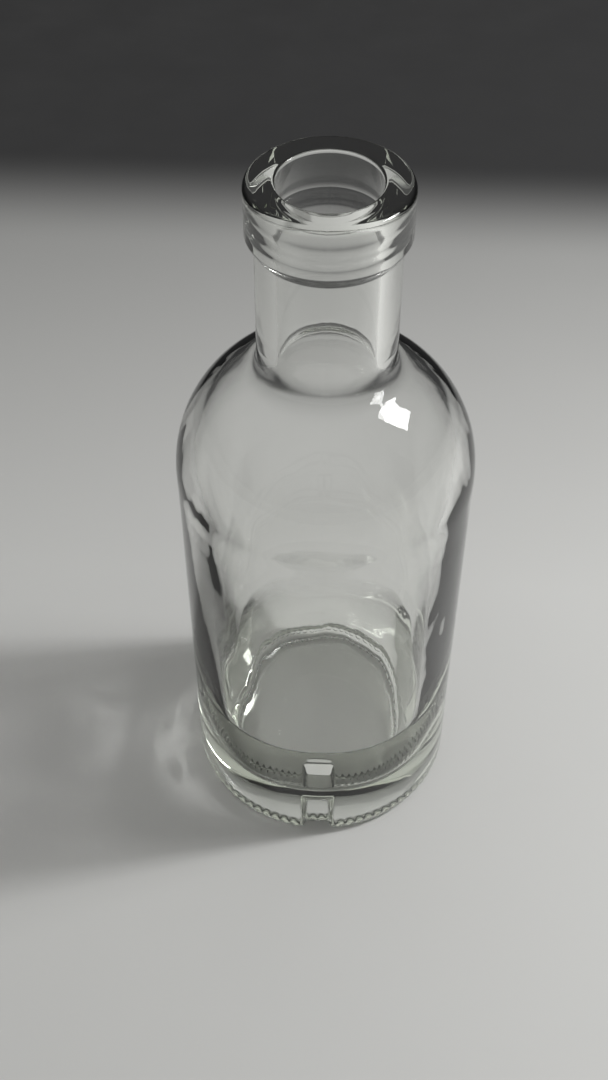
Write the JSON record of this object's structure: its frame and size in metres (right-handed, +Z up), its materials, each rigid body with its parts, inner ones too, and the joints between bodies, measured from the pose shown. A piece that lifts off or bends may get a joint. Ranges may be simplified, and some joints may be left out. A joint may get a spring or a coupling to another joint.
{
  "type": "small round spirit bottle",
  "caption": "Empty clear glass spirit bottle with a straight body, rounded shoulder, short neck and thick collar for a push-in stopper.",
  "frame": {"origin": "on the bottle's axis, in the plane that it stands on", "axes": "+Z up along the bottle's axis to the mouth, -Y towards the slot in the heel"},
  "size_m": [0.06, 0.06, 0.158],
  "materials": {
    "clear_glass": "polished clear flint glass with a faint green tint in its thick edges"
  },
  "bodies": {
    "root": {"bottle": "clear_glass"}
  },
  "joints": []
}
